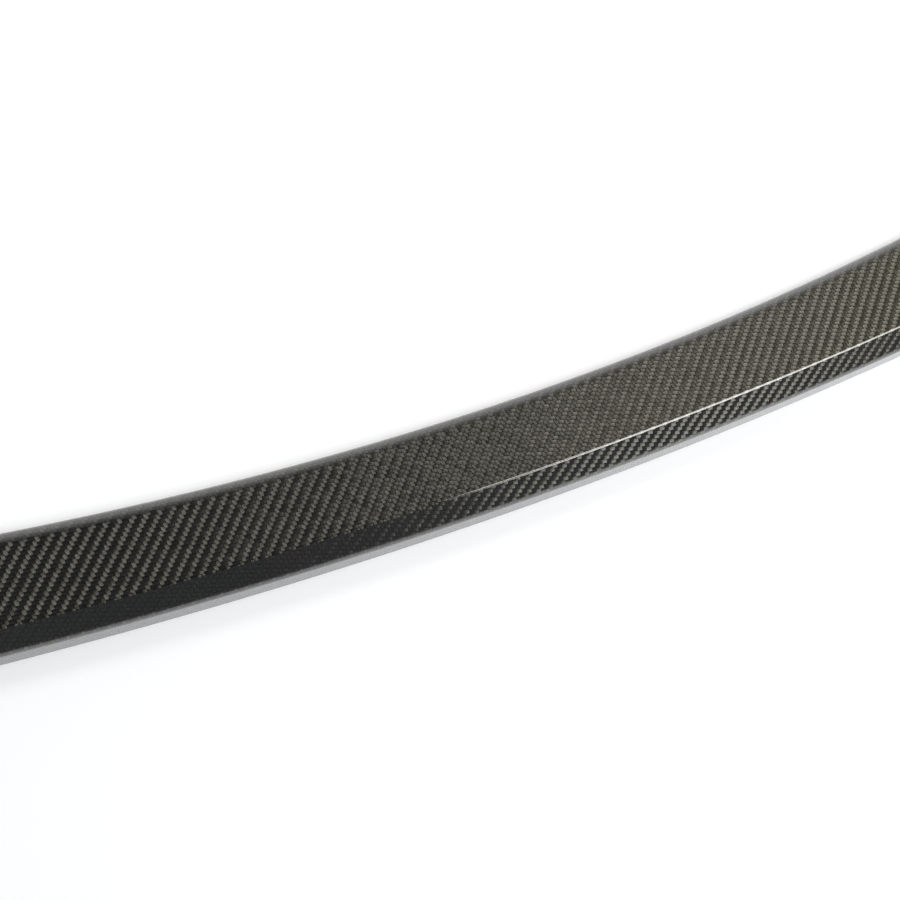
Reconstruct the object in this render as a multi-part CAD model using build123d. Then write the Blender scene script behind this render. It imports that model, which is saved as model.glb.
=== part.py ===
from build123d import *
from math import asin, cos, radians, sin, sqrt, tan
import os

# Rear lip spoiler for a boot lid, moulded as one thin shell that is open underneath.
# X runs across the car, +Y points to the front of the car, +Z is up.
# Millimetres and degrees.

# Plan of the lip: two arcs that part towards the tips
arc_length = 1200.0        # crest line, from tip to tip
crest_radius = 3520.0      # plan radius of the crest line
front_radius = 2350.0      # plan radius of the front edge
top_depth = 42.3           # crest to front edge, in plan at the centre

# Section at the centre
crest_height = 27.0        # crest above the bonding face
front_height = 9.8         # top face above the bonding face, where it meets the front wall
chamfer_length = 15.6      # sloped face behind the crest, corner to corner
chamfer_angle = 26.6       # slope of that face below level
rear_lean = 14.6           # rear wall out of upright, its foot further back
crest_edge = 1.8           # radius along the crest
shoulder_radius = 7.5      # between the sloped face and the rear wall
nose_radius = 10.0         # between the top face and the front wall

# Tips, where the crest sweeps forward and down to the front edge
tip_length = 230.0         # stretch over which each end draws in
tip_scale = 0.12           # section at the very end, against the full one
tip_solid = 45.0           # stretch at each end with no hollow

# Shell
wall = 2.0                 # laminate
land = 10.0                # bonding land under the nose, and on the flange behind

# Stations of the loft
body_stations = 9
tip_stations = 6

room = 0.9                 # most of a straight that a rounded corner may use
tip_start = asin(tip_scale)


def section_scale(from_end):
    if from_end >= tip_length:
        return 1.0
    return sqrt(1 - (cos(tip_start) * (1 - from_end / tip_length)) ** 2)


def stations(from_end):
    """Signed places along the crest line, crowded towards the tips as an ellipse draws in."""
    start = asin(section_scale(from_end))
    half = arc_length / 2
    steps = [start + (radians(90) - start) * i / tip_stations for i in range(tip_stations)]
    ends = [half - tip_length * (1 - cos(step) / cos(tip_start)) for step in steps]
    body = half - tip_length
    middle = [body * (1 - 2 * i / (body_stations - 1)) for i in range(body_stations)]
    return ends + middle + [-place for place in reversed(ends)]


def section_plane(place):
    turn = place / crest_radius
    crest = (crest_radius * sin(turn), crest_radius * (1 - cos(turn)), 0)
    return Plane(origin=crest, x_dir=(-sin(turn), cos(turn), 0), z_dir=(cos(turn), sin(turn), 0))


def depth_at(place):
    """Crest to front edge, measured square to the crest line."""
    turn = place / crest_radius
    apart = top_depth + front_radius - crest_radius
    return crest_radius + apart * cos(turn) - sqrt(front_radius**2 - (apart * sin(turn)) ** 2)


def outer_corners(place):
    """Rear foot, shoulder, crest, front top and front foot, seen along the lip."""
    depth = depth_at(place)
    shoulder = (
        -chamfer_length * cos(radians(chamfer_angle)),
        crest_height - chamfer_length * sin(radians(chamfer_angle)),
    )
    rear_foot = shoulder[0] - shoulder[1] * tan(radians(rear_lean))
    corners = [(rear_foot, 0), shoulder, (0, crest_height), (depth, front_height), (depth, 0)]
    scale = section_scale(arc_length / 2 - abs(place))
    return [Vector(depth + (x - depth) * scale, y * scale) for x, y in corners]


def inset(corners, distances):
    """The same outline with each side moved inwards by its own distance."""
    sides = []
    for start, end, distance in zip(corners, corners[1:] + corners[:1], distances):
        along = (end - start).normalized()
        sides.append((start + Vector(along.Y, -along.X) * distance, along))
    moved = []
    for (start, along), (other, across) in zip(sides[-1:] + sides[:-1], sides):
        reach = (other - start).cross(across).Z / along.cross(across).Z
        moved.append(start + along * reach)
    return moved


def corner_radius(corners, index, radius):
    """A radius that leaves some of the shorter straight beside its corner."""
    before = corners[index - 1] - corners[index]
    after = corners[index + 1] - corners[index]
    half_turn = radians(180 - before.get_angle(after)) / 2
    return min(radius, room * min(before.length, after.length) / tan(half_turn))


def section_face(place, corners, radii):
    outline = FilletPolyline(*corners, radius=radii, close=True)
    return section_plane(place) * make_face(outline)


def outer_section(place):
    """Carried a little below the bonding face, which is cut flat afterwards."""
    scale = section_scale(arc_length / 2 - abs(place))
    corners = outer_corners(place)
    shoulder = corner_radius(corners, 1, shoulder_radius * scale)
    nose = corner_radius(corners, 3, nose_radius * scale)
    corners[0] -= Vector(wall * tan(radians(rear_lean)), wall)
    corners[4] -= Vector(0, wall)
    return section_face(place, corners, [0, shoulder, crest_edge * scale, nose, 0])


def hollow_section(place):
    """Under the skin, down past a flange behind and a solid nose in front."""
    scale = section_scale(arc_length / 2 - abs(place))
    outer = outer_corners(place)
    rear, shoulder, crest, front, front_foot = inset(outer, [wall, wall, wall, land, wall])
    flange = outer[0].X + land
    mouth = [Vector(flange, -wall), Vector(flange, wall)]
    corners = mouth + [rear, shoulder, crest, front, Vector(front_foot.X, -wall)]
    inner_radius = corner_radius(corners, 3, max(shoulder_radius * scale - wall, wall / 4))
    return section_face(place, corners, [0, 0, 0, inner_radius, 0, 0, 0])


sunk_skin = loft([outer_section(place) for place in stations(0)])
skin = split(sunk_skin, bisect_by=Plane.XY, keep=Keep.TOP)
hollow = loft([hollow_section(place) for place in stations(tip_solid)])
lip = skin - hollow

middle = lip.bounding_box().center()
shell = Pos(0, -middle.Y, 0) * lip

os.makedirs("parts", exist_ok=True)
export_step(shell, "parts/spoiler_shell.step")
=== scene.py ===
from math import asin, atan2, cos, pi, radians, sin, sqrt, tan

import bpy
import numpy as np
from mathutils import Matrix, Vector


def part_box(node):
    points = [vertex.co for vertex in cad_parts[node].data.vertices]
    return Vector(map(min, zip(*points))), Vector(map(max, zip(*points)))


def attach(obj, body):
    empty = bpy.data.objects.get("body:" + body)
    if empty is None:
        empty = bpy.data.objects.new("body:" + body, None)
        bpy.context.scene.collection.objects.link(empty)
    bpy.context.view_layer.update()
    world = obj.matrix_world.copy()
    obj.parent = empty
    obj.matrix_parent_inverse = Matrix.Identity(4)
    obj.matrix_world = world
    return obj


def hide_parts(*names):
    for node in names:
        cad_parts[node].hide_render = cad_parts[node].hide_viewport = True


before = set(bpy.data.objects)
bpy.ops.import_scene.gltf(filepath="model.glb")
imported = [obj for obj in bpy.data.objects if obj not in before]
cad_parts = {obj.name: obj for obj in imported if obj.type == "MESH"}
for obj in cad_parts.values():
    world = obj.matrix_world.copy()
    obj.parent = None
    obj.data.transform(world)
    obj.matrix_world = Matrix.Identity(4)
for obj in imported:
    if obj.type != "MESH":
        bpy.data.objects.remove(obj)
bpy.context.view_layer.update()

# metres and degrees; X across the car, +Y to its front, +Z up

lip = {
    "arcLength": 1.200,        # crest line, tip to tip
    "crestRadius": 3.520,      # plan bow of the crest
    "frontRadius": 2.350,      # plan bow of the front edge
    "topDepth": 0.0423,        # crest to front edge at the centre
    "crestHeight": 0.0270,
    "frontHeight": 0.0098,
    "chamferLength": 0.0156,   # sloped face behind the crest
    "chamferAngle": 26.6,
    "rearLean": 14.6,          # rear wall out of upright
    "crestEdge": 0.0018,
    "shoulderRadius": 0.0075,
    "noseRadius": 0.0100,
    "tipLength": 0.230,        # stretch over which each end draws in
    "tipScale": 0.12,
    "tipSolid": 0.045,         # no hollow at the very ends
    "wall": 0.0020,
    "land": 0.0100,            # bonding land in front, and flange behind
    "room": 0.9,               # most of a straight that a rounded corner may use
    "leastInner": 0.0005,      # smallest radius inside the shoulder
    "bodySteps": 150,          # stations along the even stretch
    "tipSteps": 26,            # stations along each tip
    "arcSteps": 10,            # around each rounded corner
    "straightSteps": 14,       # across each flat
    "sharp": 32.0,             # edges over this angle stay crisp
    "facesDown": -0.98,        # normals below this belong to the flat underside
}

cloth = {
    "tow": 0.0020,             # width of one yarn
    "repeat": 4,               # yarns in one repeat, two over and two under
    "towsPerTile": 32,         # the pattern starts again after these
    "tileRear": 0.030,         # the tile starts this far behind the crest
    "wander": 0.00016,         # slow waviness of the yarns
    "wanderLength": 0.110,
    "alongWaves": (0.70, 0.31),   # of the shift along the lip: waves over the cloth and along it
    "acrossWaves": (1.00, 0.37),  # of the shift across it: a short and a long wave
    "waveStarts": (1.3, 0.4),     # of the first wave of each shift, in radians
    "layAngle": 22.0,          # slope of the face that the cloth is laid on
}


def sectionScale(fromEnd):
    if fromEnd >= lip["tipLength"]:
        return 1.0
    start = asin(lip["tipScale"])
    return sqrt(1 - (cos(start) * (1 - fromEnd / lip["tipLength"])) ** 2)


def scaleAt(place):
    return sectionScale(lip["arcLength"] / 2 - abs(place))


def stationPlaces(fromEnd):
    # from the right end to the left, crowded where the tips draw in
    start = asin(sectionScale(fromEnd))
    half = lip["arcLength"] / 2
    body = half - lip["tipLength"]
    steps = lip["tipSteps"]
    turns = [start + (pi / 2 - start) * i / steps for i in range(steps)]
    ends = [half - lip["tipLength"] * (1 - cos(t) / cos(asin(lip["tipScale"]))) for t in turns]
    middle = list(np.linspace(body, -body, lip["bodySteps"] + 1))
    return ends + middle + [-place for place in reversed(ends)]


def depthAt(place):
    turn = place / lip["crestRadius"]
    apart = lip["topDepth"] + lip["frontRadius"] - lip["crestRadius"]
    reach = sqrt(lip["frontRadius"] ** 2 - (apart * sin(turn)) ** 2)
    return lip["crestRadius"] + apart * cos(turn) - reach


def outerCorners(place):
    # rear foot, shoulder, crest, front top, front foot
    depth = depthAt(place)
    slope, lean = radians(lip["chamferAngle"]), radians(lip["rearLean"])
    shoulderX = -lip["chamferLength"] * cos(slope)
    shoulderZ = lip["crestHeight"] - lip["chamferLength"] * sin(slope)
    corners = [
        (shoulderX - shoulderZ * tan(lean), 0),
        (shoulderX, shoulderZ),
        (0, lip["crestHeight"]),
        (depth, lip["frontHeight"]),
        (depth, 0),
    ]
    scale = scaleAt(place)
    return [np.array((depth + (x - depth) * scale, z * scale)) for x, z in corners]


def turned(v):
    return np.array((v[1], -v[0]))


def cross(a, b):
    return a[0] * b[1] - a[1] * b[0]


def inset(corners, distances):
    sides = []
    for start, end, distance in zip(corners, corners[1:] + corners[:1], distances):
        along = (end - start) / np.linalg.norm(end - start)
        sides.append((start + turned(along) * distance, along))
    moved = []
    for (start, along), (other, across) in zip(sides[-1:] + sides[:-1], sides):
        moved.append(start + along * cross(other - start, across) / cross(along, across))
    return moved


def hollowCorners(place):
    # flange tip, under the skin, down behind the solid nose
    outer = outerCorners(place)
    wall, land = lip["wall"], lip["land"]
    rear, shoulder, crest, front, foot = inset(outer, [wall, wall, wall, land, wall])
    flange = outer[0][0] + land
    mouth = [np.array((flange, -wall)), np.array((flange, wall))]
    return mouth + [rear, shoulder, crest, front, np.array((foot[0], -wall))]


def roundedOutline(corners, radii):
    # the same number of points at every station
    outline = []
    count = len(corners)
    for k, (corner, radius) in enumerate(zip(corners, radii)):
        before = corners[k - 1] - corner
        after = corners[(k + 1) % count] - corner
        lengths = np.linalg.norm(before), np.linalg.norm(after)
        before, after = before / lengths[0], after / lengths[1]
        arc = [corner]
        if radius > 0:
            halfTurn = (pi - atan2(abs(cross(before, after)), before @ after)) / 2
            radius = min(radius, lip["room"] * min(lengths) / tan(halfTurn))
            middle = (before + after) / np.linalg.norm(before + after)
            centre = corner + middle * radius / cos(halfTurn)
            start = corner + before * radius * tan(halfTurn) - centre
            sense = -1 if cross(before, after) > 0 else 1
            turns = np.linspace(0, 2 * halfTurn, lip["arcSteps"] + 1) * sense
            arc = [centre + np.array((start[0] * cos(t) - start[1] * sin(t),
                                      start[0] * sin(t) + start[1] * cos(t))) for t in turns]
        outline.append(arc)
    turns = np.linspace(0, pi, lip["straightSteps"] + 1)[1:-1]
    share = (1 - np.cos(turns)) / 2  # close-set at the ends
    points = []
    for k, arc in enumerate(outline):
        points += arc
        if k < count - 1:
            points += [arc[-1] + (outline[k + 1][0] - arc[-1]) * s for s in share]
    return np.array(points)


def outerOutline(place):
    scale = scaleAt(place)
    shoulder, crest, nose = (lip[key] * scale for key in ("shoulderRadius", "crestEdge", "noseRadius"))
    return roundedOutline(outerCorners(place), [0, shoulder, crest, nose, 0])


def hollowOutline(place):
    scale = scaleAt(place)
    inner = max(lip["shoulderRadius"] * scale - lip["wall"], lip["leastInner"])
    return roundedOutline(hollowCorners(place), [0, 0, 0, inner, 0, 0, 0])


def inPlan(place, across, height):
    # from a section to the part's frame
    turn = place / lip["crestRadius"]
    x = (lip["crestRadius"] - across) * sin(turn)
    y = lip["crestRadius"] - (lip["crestRadius"] - across) * cos(turn) + crestY
    return x, y, height


def layCloth(place, fromCrest):
    # the cloth lies straight, so its yarns drift across the bowed lip
    lay = cos(radians(cloth["layAngle"]))
    reach = lip["crestRadius"] / lay
    turn = place / lip["crestRadius"] * lay
    along = (reach - fromCrest) * sin(turn)
    across = reach - (reach - fromCrest) * cos(turn)
    slow = 2 * pi / cloth["wanderLength"]
    overRate, alongRate = (slow * waves for waves in cloth["alongWaves"])
    shortRate, longRate = (slow * waves for waves in cloth["acrossWaves"])
    alongStart, acrossStart = cloth["waveStarts"]
    along += cloth["wander"] * sin(overRate * across + alongStart) * cos(alongRate * along)
    across += cloth["wander"] * (sin(shortRate * along + acrossStart) + sin(longRate * along))
    tile = cloth["tow"] * cloth["towsPerTile"]
    return along / tile, (across + cloth["tileRear"]) / tile


def fromCrestAlong(outline):
    # length along the section, 0 at the highest point, positive to the front
    run = np.concatenate(([0], np.cumsum(np.hypot(*np.diff(outline, axis=0).T))))
    return run - run[np.argmax(outline[:, 1])]


def spunBody(name, outlineAt, places):
    outlines = [outlineAt(place) for place in places]
    count = len(outlines[0])
    bpy.ops.object.select_all(action="DESELECT")
    bpy.ops.mesh.primitive_circle_add(vertices=count, radius=lip["topDepth"], fill_type="NOTHING")
    body = bpy.context.object
    body.name = body.data.name = name
    for vertex, point in zip(body.data.vertices, outlines[0]):
        vertex.co = inPlan(places[0], *point)
    bpy.ops.object.mode_set(mode="EDIT")
    bpy.ops.mesh.select_all(action="SELECT")
    sweep = (places[0] - places[-1]) / lip["crestRadius"]
    centre = (0, lip["crestRadius"] + crestY, 0)
    bpy.ops.mesh.spin(steps=len(places) - 1, angle=sweep, center=centre, axis=(0, 0, 1))
    bpy.ops.object.mode_set(mode="OBJECT")
    placed, laid = [], []
    for place, outline in zip(places, outlines):  # every ring takes its own section
        placed += [inPlan(place, *point) for point in outline]
        laid += [layCloth(place, s) for s in fromCrestAlong(outline)]
    body.data.vertices.foreach_set("co", np.array(placed, np.float32).ravel())
    bpy.ops.object.mode_set(mode="EDIT")
    bpy.ops.mesh.select_all(action="DESELECT")
    bpy.ops.mesh.select_mode(type="EDGE")
    bpy.ops.mesh.select_non_manifold()
    bpy.ops.mesh.edge_face_add()  # close both ends
    bpy.ops.mesh.select_all(action="SELECT")
    bpy.ops.mesh.normals_make_consistent(inside=False)
    bpy.ops.object.mode_set(mode="OBJECT")
    layer = body.data.uv_layers.new(name="OFBake")
    for face in body.data.polygons:
        flatBelow = len(face.vertices) > 4 or face.normal.z < lip["facesDown"]
        for loop, vertex in zip(face.loop_indices, face.vertices):
            spot = body.data.vertices[vertex].co
            layer.data[loop].uv = layCloth(spot.x, spot.y - crestY) if flatBelow else laid[vertex]
    return body


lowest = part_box("spoiler_shell")[0]
crestY = lowest.y - outerCorners(0)[0][0]  # the rear foot at the centre is the rearmost point
skin = spunBody("carbon_lip", outerOutline, stationPlaces(0))
hollow = spunBody("hollow", hollowOutline, stationPlaces(lip["tipSolid"]))
print("skin", len(skin.data.polygons), "faces, hollow", len(hollow.data.polygons), "faces")

bpy.ops.object.select_all(action="DESELECT")
skin.select_set(True)
bpy.context.view_layer.objects.active = skin
cut = skin.modifiers.new("underside", "BOOLEAN")
cut.operation = "DIFFERENCE"
cut.solver = "EXACT"
cut.object = hollow
bpy.ops.object.modifier_apply(modifier=cut.name)
bpy.data.objects.remove(hollow)
bpy.ops.object.shade_smooth_by_angle(angle=radians(lip["sharp"]))
print("lip", len(skin.data.polygons), "faces")

weave = {
    "yarn": (0.080, 0.078, 0.070),   # khaki-grey mirror of the filaments
    "paintedShade": (0.009, 0.0085, 0.007),   # painted shade: the dark colour a yarn takes where it dips under another or meets its neighbour
    "turn": 0.135,                   # floats lie a little askew, in yarn widths
    "turnStart": 0.375,              # where in a repeat they start to turn
    "sideShade": (0.90, 0.84),       # painted shade darkens a yarn over this share of its half width
    "endShade": (1.10, 0.66),        # and painted shade darkens it over this share of a float's half length
    "lengthwiseSide": 0.75,          # how much of the side shade a lengthwise yarn shows
    "uneven": 0.10,                  # float to float
    "edgeTint": 0.35,                # how much of a grazing mirror the filaments keep
    "roughness": 0.38,
    "anisotropy": 1.0,
    "grainTurn": (0.25, 0.0),        # of a lengthwise and a crosswise yarn, in whole turns
    # fitted to the look, lengthwise then crosswise; above 0 leans outwards, below 0 inwards
    "edgeTilt": (-0.27, 0.42),       # at the edges of a yarn
    "endTilt": (0.047, -0.049),      # at the ends of a float
    "jitter": 0.020,                 # tilt that differs from float to float
    "coatRoughness": 0.02,
    "coatIor": 1.70,
}


def addNode(tree, kind, **values):
    made = tree.nodes.new(kind)
    for key, value in values.items():
        setattr(made, key, value)
    return made


def wire(tree, source, target):
    if hasattr(source, "is_linked"):
        tree.links.new(source, target)
    else:
        target.default_value = source


def sums(tree, operation, *terms):
    made = addNode(tree, "ShaderNodeMath", operation=operation)
    for term, socket in zip(terms, made.inputs):
        wire(tree, term, socket)
    return made.outputs[0]


def blendOf(tree, share, first, second, kind="FLOAT", how="MIX"):
    made = addNode(tree, "ShaderNodeMix", data_type=kind, blend_type=how)
    sockets = [s for s in made.inputs if s.enabled]
    for term, socket in zip((share, first, second), sockets):
        wire(tree, term, socket)
    return [s for s in made.outputs if s.enabled][0]


def ramped(tree, value, low, high, how="SMOOTHSTEP"):
    made = addNode(tree, "ShaderNodeMapRange", interpolation_type=how)
    for term, socket in zip((value, low, high), made.inputs):
        wire(tree, term, socket)
    return made.outputs[0]


def carbonMaterial():
    made = bpy.data.materials.new("carbon_twill")
    made.use_nodes = True
    tree = made.node_tree
    shader = next(n for n in tree.nodes if n.type == "BSDF_PRINCIPLED")
    place = addNode(tree, "ShaderNodeUVMap", uv_map="OFBake")
    scaled = addNode(tree, "ShaderNodeVectorMath", operation="SCALE")
    wire(tree, place.outputs[0], scaled.inputs[0])
    scaled.inputs["Scale"].default_value = cloth["towsPerTile"]
    parts = addNode(tree, "ShaderNodeSeparateXYZ")
    wire(tree, scaled.outputs[0], parts.inputs[0])
    a, b = parts.outputs[0], parts.outputs[1]  # along the lip and over it, in yarn widths
    repeat = cloth["repeat"]
    diagonal = sums(tree, "SUBTRACT", a, b)
    twill = sums(tree, "MULTIPLY_ADD", diagonal, 2 * pi / repeat, 2 * pi * weave["turnStart"])
    askew = sums(tree, "MULTIPLY", sums(tree, "SINE", twill), -weave["turn"])
    a, b = sums(tree, "ADD", a, askew), sums(tree, "ADD", b, askew)
    column, row = sums(tree, "FLOOR", a), sums(tree, "FLOOR", b)
    inColumn, inRow = sums(tree, "FRACT", a), sums(tree, "FRACT", b)
    apart = sums(tree, "SUBTRACT", column, row)
    step = sums(tree, "FLOORED_MODULO", apart, repeat)
    weftUp = sums(tree, "GREATER_THAN", step, (repeat - 1) / 2)  # the crosswise yarn is on top
    half = blendOf(tree, weftUp, step, sums(tree, "SUBTRACT", repeat - 1, step))
    along = blendOf(tree, weftUp, inColumn, inRow)
    across = blendOf(tree, weftUp, inRow, inColumn)
    onFloat = sums(tree, "SUBTRACT", sums(tree, "ADD", along, half), 1.0)  # -1 to 1 along a float
    onYarn = sums(tree, "MULTIPLY_ADD", across, 2.0, -1.0)  # -1 to 1 across it
    # painted shade at the sides of each yarn and the ends of each float, standing in for the shadow
    # where yarns meet and dive under one another
    sideShade = ramped(tree, sums(tree, "ABSOLUTE", onYarn), *weave["sideShade"])
    endShade = ramped(tree, sums(tree, "ABSOLUTE", onFloat), *weave["endShade"])
    sideShown = sums(tree, "MAXIMUM", weftUp, weave["lengthwiseSide"])
    sideShade = blendOf(tree, sideShown, 1.0, sideShade)
    # one random level for each float, the same in every tile
    count = cloth["towsPerTile"]
    yarn = sums(tree, "FLOORED_MODULO", blendOf(tree, weftUp, row, column), count)
    order = sums(tree, "FLOOR", sums(tree, "DIVIDE", apart, repeat))
    name = addNode(tree, "ShaderNodeCombineXYZ")
    wire(tree, yarn, name.inputs[0])
    wire(tree, sums(tree, "FLOORED_MODULO", order, count / repeat), name.inputs[1])
    wire(tree, weftUp, name.inputs[2])
    chance = addNode(tree, "ShaderNodeTexWhiteNoise", noise_dimensions="3D")
    wire(tree, name.outputs[0], chance.inputs["Vector"])
    spread = 2 * weave["uneven"]
    level = sums(tree, "MULTIPLY_ADD", chance.outputs["Value"], spread, 1 - spread)
    shade = sums(tree, "MULTIPLY", sums(tree, "MULTIPLY", sideShade, endShade), level)
    # the base colour carries the painted shade, from the yarn's colour towards the dark one
    colour = blendOf(tree, shade, (*weave["paintedShade"], 1), (*weave["yarn"], 1), "RGBA")
    wire(tree, colour, shader.inputs["Base Color"])
    # yarns that lean turn the reflection
    tiltAcross = sums(tree, "MULTIPLY", onYarn, blendOf(tree, weftUp, *weave["edgeTilt"]))
    drift = sums(tree, "MULTIPLY_ADD", chance.outputs["Value"], 2 * weave["jitter"], -weave["jitter"])
    tiltAlong = sums(tree, "MULTIPLY_ADD", onFloat, blendOf(tree, weftUp, *weave["endTilt"]), drift)
    tiltU = blendOf(tree, weftUp, tiltAlong, tiltAcross)
    tiltV = blendOf(tree, weftUp, tiltAcross, tiltAlong)
    tilt = addNode(tree, "ShaderNodeCombineXYZ")
    for part, socket in zip((tiltU, tiltV), tilt.inputs):
        wire(tree, sums(tree, "MULTIPLY_ADD", part, 0.5, 0.5), socket)  # -1 to 1 kept as 0 to 1
    tilt.inputs[2].default_value = 1.0
    bent = addNode(tree, "ShaderNodeNormalMap", uv_map="OFBake")
    wire(tree, tilt.outputs[0], bent.inputs["Color"])
    wire(tree, bent.outputs[0], shader.inputs["Normal"])
    grain = addNode(tree, "ShaderNodeTangent", direction_type="UV_MAP", uv_map="OFBake")
    wire(tree, grain.outputs[0], shader.inputs["Tangent"])
    rotation = blendOf(tree, weftUp, *weave["grainTurn"])
    wire(tree, rotation, shader.inputs["Anisotropic Rotation"])
    shader.inputs["Metallic"].default_value = 1.0
    shader.inputs["Specular Tint"].default_value = (*[weave["edgeTint"]] * 3, 1)
    shader.inputs["Roughness"].default_value = weave["roughness"]
    shader.inputs["Anisotropic"].default_value = weave["anisotropy"]
    shader.inputs["Coat Weight"].default_value = 1.0
    shader.inputs["Coat Roughness"].default_value = weave["coatRoughness"]
    shader.inputs["Coat IOR"].default_value = weave["coatIor"]
    return made


skin.data.materials.clear()
skin.data.materials.append(carbonMaterial())
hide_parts("spoiler_shell")
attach(skin, "root")
print("carbon finish done")

floorLook = {
    "size": 60.0,
    "paint": (0.74, 0.75, 0.78),
    "glow": (0.93, 0.95, 1.00),
    "inView": 0.32,              # lifts it to white, and leaves the shadow
    "inGloss": 0.50,             # as the coat mirrors it
}


def studioFloor():
    bpy.ops.object.select_all(action="DESELECT")
    bpy.ops.mesh.primitive_plane_add(size=floorLook["size"])
    floor = bpy.context.object
    floor.name = "studio_floor"
    made = bpy.data.materials.new("floor_white")
    made.use_nodes = True
    tree = made.node_tree
    tree.nodes.clear()
    paint = addNode(tree, "ShaderNodeBsdfDiffuse")
    paint.inputs[0].default_value = (*floorLook["paint"], 1)
    path = addNode(tree, "ShaderNodeLightPath")
    mirrored = sums(tree, "MAXIMUM", path.outputs["Is Glossy Ray"], path.outputs["Is Transmission Ray"])
    inGloss = sums(tree, "MULTIPLY", mirrored, floorLook["inGloss"])
    strength = sums(tree, "MULTIPLY_ADD", path.outputs["Is Camera Ray"], floorLook["inView"], inGloss)
    glow = addNode(tree, "ShaderNodeEmission")
    glow.inputs["Color"].default_value = (*floorLook["glow"], 1)
    wire(tree, strength, glow.inputs["Strength"])
    both = addNode(tree, "ShaderNodeAddShader")
    wire(tree, paint.outputs[0], both.inputs[0])
    wire(tree, glow.outputs[0], both.inputs[1])
    side = addNode(tree, "ShaderNodeNewGeometry")
    clear = addNode(tree, "ShaderNodeBsdfTransparent")
    shown = addNode(tree, "ShaderNodeMixShader")  # see-through from below
    wire(tree, side.outputs["Backfacing"], shown.inputs[0])
    wire(tree, both.outputs[0], shown.inputs[1])
    wire(tree, clear.outputs[0], shown.inputs[2])
    wire(tree, shown.outputs[0], addNode(tree, "ShaderNodeOutputMaterial").inputs["Surface"])
    floor.data.materials.append(made)


studioFloor()

studio = {
    "frontWall": 1.05,                # pale low walls
    "rearWall": 0.70,
    "frontTop": 0.62,                 # sine of the height where they have faded
    "rearTop": 0.25,
    "wallTurn": (-0.25, 0.35),        # the rear wall gives way to the front one over this Y
    "dim": (0.036, 0.038, 0.042),     # above them
    "rear": (0.13, 0.135, 0.15),      # cool light from behind
    "rearFade": (-0.35, -0.70),       # grows over this Y
    "right": (1.20, 1.00, 0.50),      # warm light from the right
    "rightFade": (0.36, 0.90),        # grows over this X
    "rightFront": (-0.9, 0.4),        # and over this Y
}

softboxes = {
    "strip_front": {"toward": (0.506, 0.105, 0.857), "distance": 2.4, "size": (0.86, 1.09),
                    "radiance": 6.5, "tint": (1.0, 0.97, 0.88)},
    "strip_rear": {"toward": (0.544, -0.392, 0.742), "distance": 2.4, "size": (0.79, 1.44),
                   "radiance": 9.6, "tint": (0.97, 0.99, 1.0)},
    "window_front": {"toward": (-0.235, 0.655, 0.718), "distance": 2.6, "size": (0.94, 0.55),
                     "radiance": 9.5, "tint": (0.97, 0.99, 1.0)},
    "window_right": {"toward": (0.70, 0.547, 0.459), "distance": 2.6, "size": (0.31, 0.50),
                     "radiance": 6.0, "tint": (1.0, 0.98, 0.92)},
}


def studioLight():
    world = bpy.data.worlds.new("studio")
    bpy.context.scene.world = world
    world.use_nodes = True
    tree = world.node_tree
    back = next(n for n in tree.nodes if n.type == "BACKGROUND")
    look = addNode(tree, "ShaderNodeTexCoord")
    parts = addNode(tree, "ShaderNodeSeparateXYZ")
    wire(tree, look.outputs["Generated"], parts.inputs[0])
    x, y, z = parts.outputs
    behind = ramped(tree, y, *studio["rearFade"])
    fromRight = ramped(tree, x, *studio["rightFade"])
    right = sums(tree, "MULTIPLY", fromRight, ramped(tree, y, *studio["rightFront"]))
    colour = blendOf(tree, behind, (*studio["dim"], 1), (*studio["rear"], 1), "RGBA", "ADD")
    colour = blendOf(tree, right, colour, (*studio["right"], 1), "RGBA", "ADD")
    ahead = ramped(tree, y, *studio["wallTurn"])
    low = ramped(tree, z, blendOf(tree, ahead, studio["rearTop"], studio["frontTop"]), 0.0, "LINEAR")
    greys = [(*[studio[key]] * 3, 1) for key in ("rearWall", "frontWall")]
    wall = blendOf(tree, ahead, *greys, "RGBA")
    colour = blendOf(tree, low, colour, wall, "RGBA")
    wire(tree, colour, back.inputs["Color"])
    for name, box in softboxes.items():
        toward = Vector(box["toward"]).normalized()
        data = bpy.data.lights.new(name, "AREA")
        data.shape = "RECTANGLE"
        data.size, data.size_y = box["size"]
        data.energy = box["radiance"] * pi * data.size * data.size_y  # in watts
        data.color = box["tint"]
        lamp = bpy.data.objects.new(name, data)
        bpy.context.scene.collection.objects.link(lamp)
        side = Vector((0, 1, 0)).cross(toward).normalized()  # its length runs along Y
        lamp.matrix_world = Matrix.Translation(toward * box["distance"]) @ Matrix(
            (side, toward.cross(side), toward)).transposed().to_4x4()
        lamp.visible_camera = False


studioLight()
print("studio light done")

shot = {  # the photograph's viewing angle
    "azimuth": -92.646, "elevation": 69.0, "roll": 74.331,
    "aim": (-0.031373, -0.022578, 0.015041), "distance": 1.10812,
    "lens": 78.724, "sensor": 36.0,
}


def addCamera():
    turn, lift, roll = (radians(shot[k]) for k in ("azimuth", "elevation", "roll"))
    back = Vector((sin(turn) * cos(lift), -cos(turn) * cos(lift), sin(lift)))
    level = Vector((cos(turn), sin(turn), 0))
    right = level * cos(roll) + back.cross(level) * sin(roll)
    data = bpy.data.cameras.new("camera")
    data.lens, data.sensor_width = shot["lens"], shot["sensor"]
    camera = bpy.data.objects.new("camera", data)
    bpy.context.scene.collection.objects.link(camera)
    facing = Matrix((right, back.cross(right), back)).transposed().to_4x4()
    camera.matrix_world = Matrix.Translation(Vector(shot["aim"]) + back * shot["distance"]) @ facing
    bpy.context.scene.camera = camera


addCamera()
bpy.context.scene.view_settings.view_transform = "Standard"
print("camera done")
